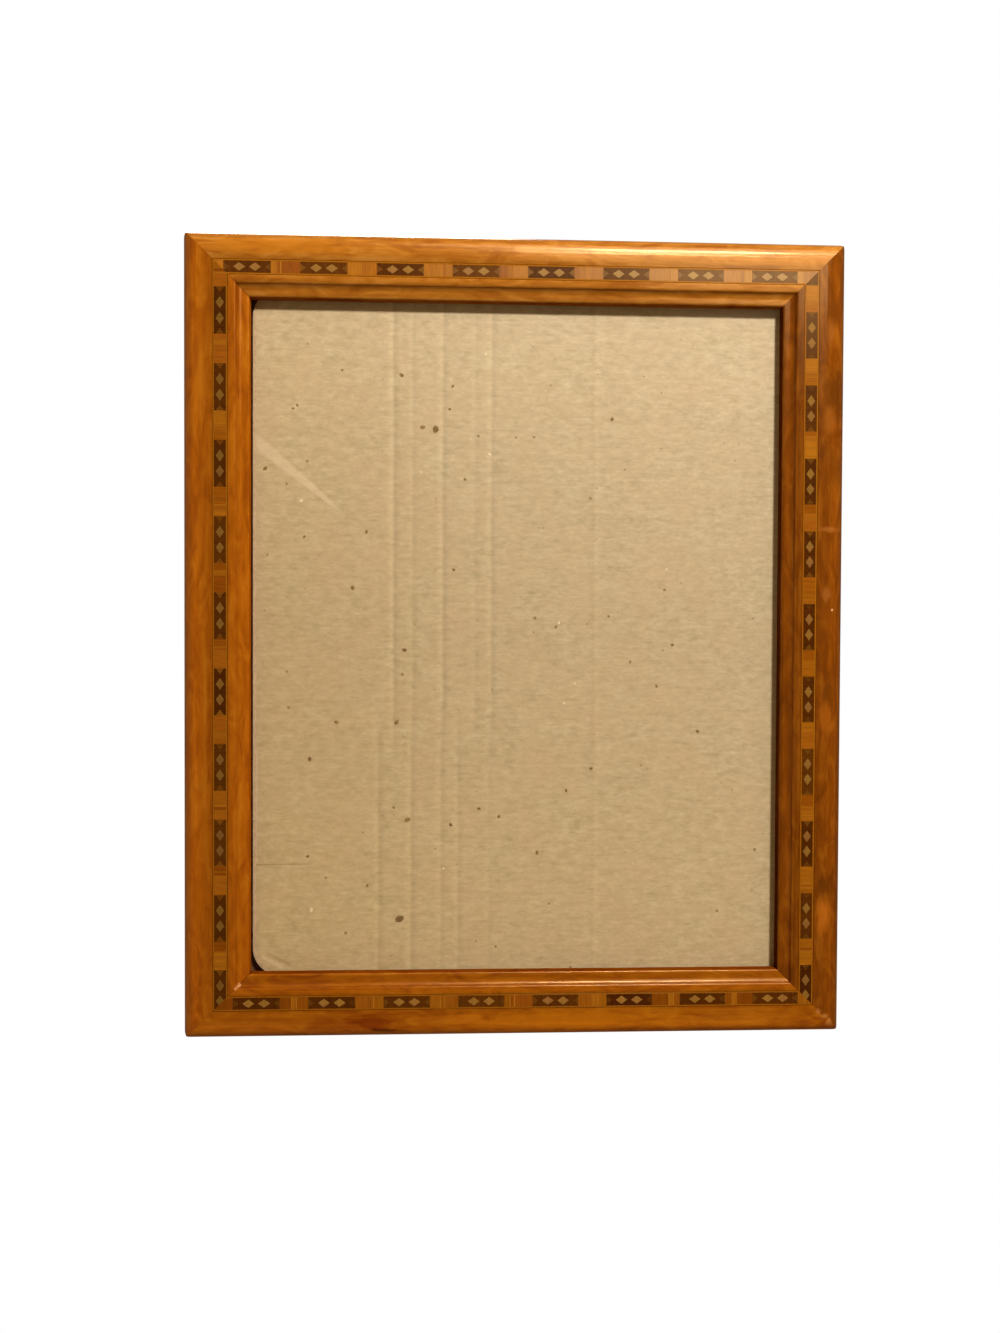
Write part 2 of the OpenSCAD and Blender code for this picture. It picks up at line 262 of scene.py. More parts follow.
@dataclass(frozen=True)
class VarnishedWood(Finish):
    """Orange-stained wood under amber gloss varnish: soft streaks, slanting flames and faint pores."""

    dark: str
    mid: str
    light: str
    upright: bool
    place: float
    marks: tuple[Mark, ...]
    # painted light and shade: how pale the wood is painted at each distance in from the outer edge,
    # paler where the moulding faces the light and holds its highlights, darker where it faces away
    painted_light: Levels
    # growth rings cut lengthwise show as streaks about 2 mm wide and 60 mm long
    streaks: Pattern = Pattern((60, 2.6, 2.6), 3.0, 0.5, 0.4)
    # interlocked grain shows as slanting flames about 6 mm wide
    figure: Pattern = Pattern((17, 6, 6), 4.0, 0.55, 1.8)
    flame: float = 0.6
    # the noise levels of the dark, the middle and the light stain
    stain_levels: tuple[float, float, float] = (0.36, 0.5, 0.64)
    # open pores, about 0.4 mm wide and 8 mm long, begin and are full at these levels
    pore: Pattern = Pattern((8, 0.42, 0.42), 2.0)
    pore_levels: Span = (0.54, 0.68)
    pore_depth: float = 0.16
    # a mark's edge is drawn out along the grain, and fades between these distances
    ragged: Pattern = Pattern((9, 2.5, 2.5), 4.0, 0.6, 0.6)
    raggedness: float = 1.6
    mark_fades: Span = (1.8, 1.15)
    # the varnish is a little duller where the frame was handled
    handling: Pattern = Pattern((30, 6, 6), 3.0)
    roughness: Span = (0.12, 0.25)
    # how squarely a face looks forward or back where the painted shade, the shine and the bare back begin and
    # are full
    shade_faces: Span = (0.62, 0.3)
    shiny_faces: Span = (0.25, 0.6)
    back_faces: Span = (0.8, 0.95)
    # painted shade on the faces that look sideways: how much, and its tint
    painted_shade_share: float = 0.5
    painted_shade_tint: str = "#98441c"
    bare: str = "#b08050"
    bare_share: float = 0.45
    bare_roughness: float = 0.65
    # how far in the painted light and shade reaches, half the frame's size, and the height of its middle, in
    # millimetres
    reach: float = 25.0
    half_width: float = 122.4
    half_height: float = 147.8
    middle: float = -136.0
    # the hairlines at the mitres are dark on the lip, from 19 mm in, and faint up to 17 mm in
    hairline: float = 0.35
    lip: Span = (19, 17)
    hairline_levels: Span = (0.4, 0.1)

    def from_middle(self, tree: Tree) -> tuple[Node, Node]:
        """How far a point lies from the upright and from the lying middle line of the frame, in metres.

        Args:
            tree: The node tree.

        Returns:
            The distances across and up or down.
        """
        where = axes(tree)
        level = add_node(tree, "Math", {0: where["Z"], 1: self.middle * MM}, operation="SUBTRACT")
        across = add_node(tree, "Math", {0: where["X"]}, operation="ABSOLUTE")
        return across, add_node(tree, "Math", {0: level}, operation="ABSOLUTE")

    def paint_light_across(self, tree: Tree, colour: Node) -> Node:
        """Paints light and shade across the moulding: paler where it faces the light, darker in its quirks
        and where it faces away, by how far in from the edge they lie.

        Args:
            tree: The node tree.
            colour: The colour so far.

        Returns:
            The aged colour.
        """
        across, up = self.from_middle(tree)
        far, half = (across, self.half_width) if self.upright else (up, self.half_height)
        inward = add_node(tree, "MapRange", {0: far, 1: half * MM, 2: (half - self.reach) * MM})
        # the ramp holds half of each factor, since it ends at 1
        ramp = add_node(
            tree, "ValToRGB", {"Fac": inward},
            [(place / self.reach, grey(0.5 * factor)) for place, factor in self.painted_light])
        factor = add_node(tree, "Math", {0: ramp, 1: 2.0}, operation="MULTIPLY")
        return add_node(tree, "Mix", {0: 1.0, 6: colour, 7: factor}, **GLAZE)

    def mitres(self, tree: Tree) -> Node:
        """A mask of the hairlines at the four mitres.

        Args:
            tree: The node tree.

        Returns:
            How much they darken on the hairlines, and nothing elsewhere.
        """
        across, up = self.from_middle(tree)
        gap = add_node(tree, "Math", {0: up, 1: across}, operation="SUBTRACT")
        off = add_node(
            tree, "Math", {0: gap, 1: (self.half_height - self.half_width) * MM, 2: self.hairline * MM},
            operation="COMPARE")
        inner, outer = ((self.half_width - reach) * MM for reach in self.lip)
        depth = add_node(
            tree, "MapRange", {0: across, **ends((inner, outer)), **ends(self.hairline_levels, 3)})
        return add_node(tree, "Math", {0: off, 1: depth}, operation="MULTIPLY")

    def marked(self, tree: Tree, colour: Node) -> Node:
        """Adds the marks and the painted highlights and glints, their edges drawn out along the grain.

        Args:
            tree: The node tree.
            colour: The colour so far.

        Returns:
            The colour with the marks.
        """
        where = add_node(tree, "TexCoord").outputs["Object"]
        ragged = self.ragged.lay(tree, self.upright, self.place)
        for mark in self.marks:
            shift = (-mark.across / mark.wide, 0.0, -mark.up / mark.high)
            scale = (1.0 / (mark.wide * MM), 0.0, 1.0 / (mark.high * MM))
            near = add_node(tree, "Mapping", {"Vector": where, "Location": shift, "Scale": scale})
            far = add_node(tree, "VectorMath", {0: near}, operation="LENGTH")
            edge = add_node(tree, "Math", {0: ragged, 1: self.raggedness, 2: far}, operation="MULTIPLY_ADD")
            mask = add_node(tree, "MapRange", {0: edge, **ends(self.mark_fades), 4: mark.share})
            colour = add_node(tree, "Mix", {0: mask, 6: colour, 7: srgb(mark.tint)}, **COVER)
        return colour

    def paint(self, tree: Tree) -> Feeds:
        """Adds the stained grain and the varnish.

        Args:
            tree: The node tree.

        Returns:
            What feeds the shader.
        """
        # each pattern is moved by its own share, so that no two line up
        streaks = self.streaks.lay(tree, self.upright, self.place)
        figure = self.figure.lay(tree, self.upright, self.place * 1.7)
        pore = self.pore.lay(tree, self.upright, self.place * 0.6)
        mixed = add_node(tree, "Mix", {0: self.flame, 2: streaks, 3: figure})
        shades = zip(self.stain_levels, (srgb(self.dark), srgb(self.mid), srgb(self.light)))
        stain = add_node(tree, "ValToRGB", {"Fac": mixed}, shades)
        begins, full = self.pore_levels
        pores = add_node(tree, "ValToRGB", {"Fac": pore}, [(begins, grey(0)), (full, grey(self.pore_depth))])
        colour = add_node(tree, "Mix", {0: pores, 6: stain, 7: srgb(self.dark)}, **GLAZE)
        colour = self.paint_light_across(tree, self.marked(tree, colour))
        # dark hairlines in the mitres, and painted shade on the faces that don't look forward
        facing = axes(tree, "Normal")["Y"]
        front = add_node(tree, "Math", {0: facing}, operation="ABSOLUTE")
        edge = add_node(tree, "MapRange", {0: front, **ends(self.shade_faces), 4: self.painted_shade_share})
        joints_and_shade = add_node(tree, "Math", {0: self.mitres(tree), 1: edge}, operation="ADD", use_clamp=True)
        colour = add_node(tree, "Mix", {0: joints_and_shade, 6: colour, 7: srgb(self.painted_shade_tint)}, **GLAZE)
        # the back is stained but has no varnish, so it is dull and a little paler
        bare = add_node(tree, "MapRange", {0: facing, **ends(self.back_faces)})
        thin = add_node(tree, "Math", {0: bare, 1: self.bare_share}, operation="MULTIPLY")
        sheen = self.handling.spread(tree, *self.roughness, self.upright)
        return {
            "Base Color": add_node(tree, "Mix", {0: thin, 6: colour, 7: srgb(self.bare)}, **COVER),
            "Roughness": add_node(tree, "Mix", {0: bare, 2: sheen, 3: self.bare_roughness}),
            # the varnish is thin on the faces that look sideways, so they shine less
            "Specular IOR Level": add_node(tree, "MapRange", {0: front, **ends(self.shiny_faces), 4: 0.5}),
            "Normal": add_node(tree, "Bump", {"Height": pore, "Strength": 0.12, "Distance": 0.2 * MM}),
            **VARNISH,
        }


@dataclass(frozen=True)
class Veneer(Finish):
    """Thin sawn veneer under varnish: its grain runs across the band and each piece has its own tone."""

    tones: tuple[str, ...]
    upright: bool
    grain: float
    clear: float
    # painted sheen: how strongly the sheen of the light is painted over the band
    bleached: float
    # painted sheen of the light on the top band: least up to the first of these places, in metres, and fully
    # from the second
    sheen_tint: str = "#d1c5a2"
    sheen_spread: Span = (-0.05, 0.05)
    least_sheen: float = 0.1
    # grain lines 0.35 mm wide run across the band of 4.3 mm; the pale ones are fainter
    lines: Pattern = Pattern((6, 0.35, 0.6), 3.0, 0.6)
    pale_lines: float = 0.6
    roughness: float = 0.2

    def paint(self, tree: Tree) -> Feeds:
        """Adds the tones of the pieces and their grain.

        Args:
            tree: The node tree.

        Returns:
            What feeds the shader.
        """
        last = len(self.tones) - 1
        tone = add_node(
            tree, "ValToRGB", {"Fac": add_node(tree, "NewGeometry").outputs["Random Per Island"]},
            [(i / last, srgb(code)) for i, code in enumerate(self.tones)])
        darkest, palest = 1.0 - self.grain, 1.0 + self.grain * self.pale_lines
        shade = self.lines.spread(tree, self.clear * darkest, self.clear * palest, not self.upright)
        wood = add_node(tree, "Mix", {0: 1.0, 6: tone, 7: shade}, **GLAZE)
        # paint the sheen of the light over the top band, stronger towards its right end
        if self.bleached:
            levels = (self.least_sheen * self.bleached, self.bleached)
            sheen_share = add_node(
                tree, "MapRange", {0: axes(tree)["X"], **ends(self.sheen_spread), **ends(levels, 3)})
            wood = add_node(tree, "Mix", {0: sheen_share, 6: wood, 7: srgb(self.sheen_tint)}, **COVER)
        return {"Base Color": wood, "Roughness": self.roughness, **VARNISH}


@dataclass(frozen=True)
class Crease:
    """A crease along a flute: where it is lit and where it is shaded, in millimetres from the middle."""

    lit: float
    shaded: float
    depth: float
    foot: float = 2.7
    crest: float = 0.6

    def stops(self, start: float, span: float) -> Stops:
        """The four stops of this crease on a ramp.

        Args:
            start: Where the ramp starts, in millimetres.
            span: How long it is.

        Returns:
            The stops, from left to right.
        """
        edge = 0.5 * (self.lit + self.shaded)
        left = 0.5 + math.copysign(0.5 * self.depth, self.shaded - self.lit)
        places = ((-self.foot, 0.5), (-self.crest, left), (self.crest, 1.0 - left), (self.foot, 0.5))
        return [((edge + x - start) / span, grey(value)) for x, value in places]


@dataclass(frozen=True)
class Fold:
    """A fold or a scratch that runs straight over the paper, in metres, with its tint."""

    start: Point
    along: Point
    length: float
    first_half: float
    last_half: float
    tint: str
    share: float
    # how far along it starts to narrow and to fade, as shares of its length, and how soon it fades in
    narrows: float = 0.2
    fades: float = 0.87
    fades_in: float = 0.002


@dataclass(frozen=True)
class Specks:
    """Specks of one kind, at most one to a cell."""

    # how wide a cell is, in millimetres, and the radius of the largest speck as a share of that
    spacing: float
    size: float
    tint: str
    cells_with_one: float
    place: float
    soft_edge: float = 0.3
    strength: float = 0.8


@dataclass(frozen=True)
class KraftBoard(Finish):
    """Brown kraft liner of corrugated cardboard: cloudy, flecked, creased along its flutes, matt all over."""

    base: str = "#d2c7ac"
    pale: str = "#dfd6bc"
    dull: str = "#c2b799"
    # pulp settles in faint clouds 3 to 8 mm long, drawn out sideways, in slightly rosier patches
    clouds: Point = (4.2, 2.2, 2.2)
    rosy: str = "#d7c4aa"
    patches: Point = (17, 17, 17)
    rosiness: float = 0.65
    fibres: Point = (2.2, 0.8, 0.8)
    fibre_levels: Span = (0.93, 1.07)
    # the paper is browner towards its lower left corner, and yellower towards its left edge, in metres
    lower_left_tint: str = "#fcf6e4"
    lower_left_way: Point = (-0.45, 0.0, -0.9)
    lower_left_reach: float = 0.28
    left_edge_tint: str = "#fffcf5"
    left_edge_span: Span = (-0.02, -0.09)
    # painted light and shade: how pale it is painted on the way from its top edge to its bottom edge, in
    # metres
    edges: Span = (-0.01, -0.262)
    levels: Levels = ((0.05, 1.0), (0.2, 0.94), (0.3, 0.915), (0.5, 0.88), (0.7, 0.915), (1.0, 0.97))
    # the felt of the paper machine leaves a faint weave of lines 1 mm wide
    weave: tuple[tuple[Point, float, float], ...] = (
        ((14, 1, 1), 0.045, 0.0), ((1, 1, 26), 0.035, 0.2), ((5, 1.3, 1.3), 0.045, 0.5))
    ramp_start: float = -60.0
    ramp_span: float = 100.0
    upper: tuple[Crease, ...] = (
        Crease(-47.2, -44.4, 1.0), Crease(-40.4, -37.0, 0.5), Crease(-29.0, -26.0, 0.9),
        Crease(-17.0, -14.0, 0.35), Crease(-11.2, -7.5, 0.7), Crease(30.5, 28.2, 0.4))
    lower: tuple[Crease, ...] = (
        Crease(-52.8, -50.0, 0.8), Crease(-41.2, -37.4, 0.8), Crease(-30.2, -26.2, 0.6),
        Crease(-23.2, -20.4, 0.6), Crease(-12.0, -8.6, 0.3), Crease(30.5, 28.2, 0.4))
    # the upper creases give way to the lower ones between these heights, in metres
    turn_over: Span = (-0.158, -0.182)
    # how pale a crease is in shade and in the light
    crease_levels: Span = (0.87, 1.12)
    # a crease wanders by half a millimetre over 22 mm
    wander: float = 0.6
    bends: Point = (400, 400, 22)
    # a pale slanting fold at the upper left, a little crease at the rounded corner, painted light below and
    # painted shade above, a rubbed strip down the left edge, and a thin dark scratch
    folds: tuple[Fold, ...] = (
        Fold((-0.0971, 0.0, -0.0631), (0.772, 0.0, -0.635), 0.041, 0.0028, 0.0007, "#f0e0c6", 0.42),
        Fold((-0.0936, 0.0, -0.2550), (0.887, 0.0, -0.461), 0.0085, 0.0008, 0.0013, "#f0d8b8", 0.5),
        Fold((-0.0915, 0.0, -0.2537), (0.887, 0.0, -0.461), 0.0095, 0.0007, 0.0009, "#a0845c", 0.35),
        Fold((-0.0969, 0.0, -0.179), (0.0, 0.0, -1.0), 0.042, 0.0013, 0.0010, "#ecdcc2", 0.45),
        Fold((-0.0985, 0.0, -0.2203), (1.0, 0.0, 0.012), 0.023, 0.0004, 0.0003, "#8a7450", 0.4))
    # two kinds of bark, and bleached fibre, all about a millimetre across
    specks: tuple[Specks, ...] = (
        Specks(7.0, 0.1, "#8a7450", 0.7, 0.0), Specks(4.0, 0.1, "#9c8862", 0.5, 0.09),
        Specks(12.0, 0.05, "#f4ead2", 0.5, 0.17))

    def pulp(self, tree: Tree, size: Point, low: float, high: float, place: float = 0.0) -> Node:
        """The paper's noise at a size in millimetres, from one number to another."""
        return Pattern(size, roughness=0.65).spread(tree, low, high, place=place)

    def creases(self, tree: Tree) -> Node:
        """The creases along the flutes, from 0 in shade to 1 in the light.

        Args:
            tree: The node tree.

        Returns:
            The creases.
        """
        where = axes(tree)
        wander = self.pulp(tree, self.bends, -self.wander, self.wander)
        across = add_node(tree, "Math", {0: where["X"], 1: 1.0 / MM, 2: wander}, operation="MULTIPLY_ADD")
        start, span = self.ramp_start, self.ramp_span
        along = add_node(tree, "MapRange", {0: across, 1: start, 2: start + span})
        upper, lower = (
            add_node(
                tree, "ValToRGB", {"Fac": along}, [s for crease in group for s in crease.stops(start, span)])
            for group in (self.upper, self.lower))
        share = add_node(tree, "MapRange", {0: where["Z"], **ends(self.turn_over)})
        return add_node(tree, "Mix", {0: share, 6: upper, 7: lower}, **COVER)

    def folded(self, tree: Tree, colour: Node, fold: Fold) -> Node:
        """Adds a fold, a scratch, or the painted light and shade of a crease.

        Args:
            tree: The node tree.
            colour: The colour so far.
            fold: Where it lies and how wide it is.

        Returns:
            The colour with it.
        """
        where = add_node(tree, "TexCoord").outputs["Object"]
        offset = add_node(tree, "VectorMath", {0: where, 1: fold.start}, operation="SUBTRACT")
        rise = (-fold.along[2], 0.0, fold.along[0])
        along, across = (
            add_node(tree, "VectorMath", {0: offset, 1: way}, operation="DOT_PRODUCT")
            for way in (fold.along, rise))
        width = add_node(
            tree, "MapRange",
            {0: along, 1: fold.narrows * fold.length, 2: fold.length, 3: fold.first_half, 4: fold.last_half})
        far = add_node(tree, "Math", {0: across}, operation="ABSOLUTE")
        near = add_node(tree, "Math", {0: far, 1: width}, operation="DIVIDE")
        body = add_node(tree, "MapRange", {0: near, 1: 1.0, 2: 0.5, 4: fold.share})
        first = add_node(tree, "MapRange", {0: along, 1: -fold.fades_in, 2: 0.0, 4: body})
        last = add_node(tree, "MapRange", {0: along, 1: fold.length, 2: fold.fades * fold.length})
        mask = add_node(tree, "Math", {0: first, 1: last}, operation="MULTIPLY")
        return add_node(tree, "Mix", {0: mask, 6: colour, 7: srgb(fold.tint)}, **COVER)

    def specked(self, tree: Tree, colour: Node, specks: Specks) -> Node:
        """Adds small specks of one kind.

        Args:
            tree: The node tree.
            colour: The colour so far.
            specks: The kind.

        Returns:
            The colour with the specks.
        """
        sheet = (specks.spacing, specks.spacing, 400)
        cells = add_node(
            tree, "TexVoronoi", {"Vector": millimetres(tree, sheet, place=specks.place), "Scale": 1.0})
        chosen = add_node(tree, "SeparateColor", {"Color": cells.outputs["Color"]})
        radius = add_node(tree, "MapRange", {0: chosen, 1: 1.0 - specks.cells_with_one, 4: specks.size})
        spot = add_node(tree, "Math", {0: radius, 1: cells.outputs["Distance"]}, operation="SUBTRACT")
        mask = add_node(tree, "MapRange", {0: spot, 2: specks.soft_edge * specks.size, 4: specks.strength})
        return add_node(tree, "Mix", {0: mask, 6: colour, 7: srgb(specks.tint)}, **COVER)

    def paint(self, tree: Tree) -> Feeds:
        """Adds the clouds, the fibres, the creases and the specks of the paper.

        Args:
            tree: The node tree.

        Returns:
            What feeds the shader.
        """
        paper = add_node(
            tree, "ValToRGB", {"Fac": self.pulp(tree, self.clouds, 0.0, 1.0)},
            [(0.0, srgb(self.dull)), (0.5, srgb(self.base)), (1.0, srgb(self.pale))])
        rosy = self.pulp(tree, self.patches, 0.0, self.rosiness, 0.31)
        colour = add_node(tree, "Mix", {0: rosy, 6: paper, 7: srgb(self.rosy)}, **COVER)
        where = axes(tree)
        corner = add_node(
            tree, "VectorMath",
            {0: add_node(tree, "TexCoord").outputs["Object"], 1: self.lower_left_way},
            operation="DOT_PRODUCT")
        down = add_node(tree, "MapRange", {0: where["Z"], **ends(self.edges)})
        ridge = self.creases(tree)
        fibres = self.pulp(tree, self.fibres, *self.fibre_levels)
        glazes = [
            (add_node(tree, "MapRange", {0: corner, 2: self.lower_left_reach}), srgb(self.lower_left_tint)),
            (add_node(tree, "MapRange", {0: where["X"], **ends(self.left_edge_span)}), srgb(self.left_edge_tint)),
            # painted light and shade from the top edge down
            (1.0, add_node(tree, "ValToRGB", {"Fac": down}, [(place, grey(v)) for place, v in self.levels])),
            *((1.0, self.pulp(tree, size, 1.0 - depth, 1.0 + depth, place))
              for size, depth, place in self.weave),
            (1.0, fibres),
            (1.0, add_node(tree, "MapRange", {0: ridge, **ends(self.crease_levels, 3)})),
        ]
        for share, glaze in glazes:
            colour = add_node(tree, "Mix", {0: share, 6: colour, 7: glaze}, **GLAZE)
        for fold in self.folds:
            colour = self.folded(tree, colour, fold)
        for specks in self.specks:
            colour = self.specked(tree, colour, specks)
        bump = add_node(tree, "Bump", {"Height": ridge, "Strength": 0.3, "Distance": 0.3 * MM})
        rough = add_node(
            tree, "Bump", {"Height": fibres, "Normal": bump, "Strength": 0.2, "Distance": 0.2 * MM})
        return {"Base Color": colour, "Normal": rough, "Roughness": 0.9, "Specular IOR Level": 0.2}


@dataclass(frozen=True)
class WornPaper(Finish):
    """Rubbed paper: the pale torn fibres along the edge of the sheet, or a single chip in it."""

    pale: str
    dull: str
    # torn fibres lie in tufts of 1 to 3 mm
    tufts: Pattern = Pattern((2, 2, 2), 5.0, 0.7)
    levels: Span = (0.4, 0.6)

    def paint(self, tree: Tree) -> Feeds:
        """Adds the torn fibres.

        Args:
            tree: The node tree.

        Returns:
            What feeds the shader.
        """
        tufts = self.tufts.lay(tree)
        shades = zip(self.levels, (srgb(self.dull), srgb(self.pale)))
        return {"Base Color": add_node(tree, "ValToRGB", {"Fac": tufts}, shades), "Roughness": 0.95}


@dataclass(frozen=True)
class Hardboard(Finish):
    """Pressed hardboard: dark brown felted fibres with a dull sheen."""

    base: str = "#6e452d"
    pale: str = "#8a6041"
    # chips of fibre 1.5 mm long, matted without a direction
    chips: Pattern = Pattern((1.5, 1.1, 1.1), 6.0, 0.75)
    clouds: Pattern = Pattern((38, 30, 30), 3.0)
    cloudiness: float = 0.35
    levels: Span = (0.35, 0.65)

    def paint(self, tree: Tree) -> Feeds:
        """Adds the felted fibres.

        Args:
            tree: The node tree.

        Returns:
            What feeds the shader.
        """
        chips = self.chips.lay(tree)
        mixed = add_node(tree, "Mix", {0: self.cloudiness, 2: chips, 3: self.clouds.lay(tree)})
        shades = zip(self.levels, (srgb(self.base), srgb(self.pale)))
        board = add_node(tree, "ValToRGB", {"Fac": mixed}, shades)
        bump = add_node(tree, "Bump", {"Height": chips, "Strength": 0.3, "Distance": 0.2 * MM})
        return {"Base Color": board, "Normal": bump, "Roughness": 0.62}


@dataclass(frozen=True)
class PictureGlass(Finish):
    """Clear float glass 2 mm thick: all but invisible, and what little it holds back is dark."""

    tint: str = "#20242a"
    # faint wiping marks in the polish
    wiped: Pattern = Pattern((60, 25, 25), 2.0)
    polish: Span = (0.02, 0.06)

    def paint(self, tree: Tree) -> Feeds:
        """Sets the glass up."""
        sheen = self.wiped.spread(tree, *self.polish)
        return {"Base Color": srgb(self.tint), "Roughness": sheen, "IOR": 1.45, "Alpha": 0.04}


@dataclass(frozen=True)
class PlatedSteel(Finish):
    """Stamped steel under a thin plating: fine rolling marks, with duller and brighter patches."""

    bright: str
    dull: str
    roughness: float = 0.32
    # rolling marks 0.15 mm apart
    marks: Pattern = Pattern((6, 0.15, 0.15), 3.0)
    patches: Pattern = Pattern((3, 3, 3), 4.0, 0.6)
    levels: Span = (0.35, 0.6)
    # how much rougher the dull patches are, and smoother the bright ones
    duller: float = 0.05
    brighter: float = 0.03

    def paint(self, tree: Tree) -> Feeds:
        """Adds the rolling marks and the patches.

        Args:
            tree: The node tree.

        Returns:
            What feeds the shader.
        """
        shades = zip(self.levels, (srgb(self.dull), srgb(self.bright)))
        plate = add_node(tree, "ValToRGB", {"Fac": self.patches.lay(tree)}, shades)
        worn = self.patches.spread(tree, self.roughness + self.duller, self.roughness - self.brighter)
        bump = add_node(
            tree, "Bump", {"Height": self.marks.lay(tree), "Strength": 0.06, "Distance": 0.1 * MM})
        return {"Base Color": plate, "Roughness": worn, "Normal": bump, "Metallic": 1.0}


@dataclass(frozen=True)
class PaleFloor(Finish):
    """Plain pale studio floor, with a glow of its own, since the lamps are too small for it."""

    colour: str = "#f2f1ee"
    glow: float = 0.7

    def paint(self, tree: Tree) -> Feeds:
        """Sets the colour and the glow."""
        pale = srgb(self.colour)
        return {"Base Color": pale, "Emission Color": pale, "Emission Strength": self.glow, "Roughness": 0.8}


@cache
def material(finish: Finish) -> bpy.types.Material:
    """The material of a finish, made when it is first asked for."""
    return finish.build()


@dataclass(frozen=True)
class Workshop:
    """Dresses the nodes and puts new pieces on their bodies."""

    # in degrees: up to where faces are merged, from where on an edge is sharp, and up to where it is smooth
    flat: float = 0.5
    sharp: float = 40.0
    smooth: float = 28.0
    # how far apart the doubles of a corner may lie, in metres
    doubles: float = 1e-6

    def dress(self, node: str, finish: Finish) -> bpy.types.Object:
        """Puts a finish on a node of the solid model.

        Args:
            node: The node's name.
            finish: Its finish.

        Returns:
            The node's object.
        """
        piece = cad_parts[node]
        piece.data.materials[0] = material(finish)
        LOG.info("dressed %s in %s", node, finish.name)
        return piece

    def new_piece(
        self, name: str, shape: bmesh.types.BMesh, finish: Finish, body: str,
        replaces: Iterable[str] = ()
    ) -> bpy.types.Object:
        """Makes an object from a shape that is already in its place.

        Args:
            name: The piece's name.
            shape: Its shape, which is freed.
            finish: Its finish.
            body: The body that it rides on.
            replaces: The nodes that it stands for.

        Returns:
            The new object.
        """
        mesh = bpy.data.meshes.new(name)
        shape.to_mesh(mesh)
        shape.free()
        mesh.materials.append(material(finish))
        piece = add_object(name, mesh)
        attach(piece, body)
        names = list(replaces)
        if names:
            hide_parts(*names)
        LOG.info("made %s with %d faces", name, len(mesh.polygons))
        return piece

    def merged_copy(self, node: str, softened: float = 0.0, steps: int = 1) -> bmesh.types.BMesh:
        """A node's own shape, its loose triangles merged to whole faces, with its sharp edges softened.

        Args:
            node: The node's name.
            softened: How wide the softened edges are, in millimetres.
            steps: How many faces round each of them off.

        Returns:
            The merged copy.
        """
        shape = bmesh.new()
        shape.from_mesh(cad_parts[node].data)
        bmesh.ops.remove_doubles(shape, verts=shape.verts, dist=self.doubles)
        bmesh.ops.dissolve_limit(
            shape, angle_limit=math.radians(self.flat), verts=shape.verts, edges=shape.edges)
        if softened:
            sharp = [e for e in shape.edges if e.calc_face_angle(0.0) > math.radians(self.sharp)]
            bmesh.ops.bevel(
                shape, geom=sharp, offset=softened * MM, segments=steps, profile=0.5, affect="EDGES",
                clamp_overlap=True, material=-1)
        for face in shape.faces:
            face.smooth = True
        for edge in shape.edges:
            edge.smooth = edge.calc_face_angle(0.0) < math.radians(self.smooth)
        return shape


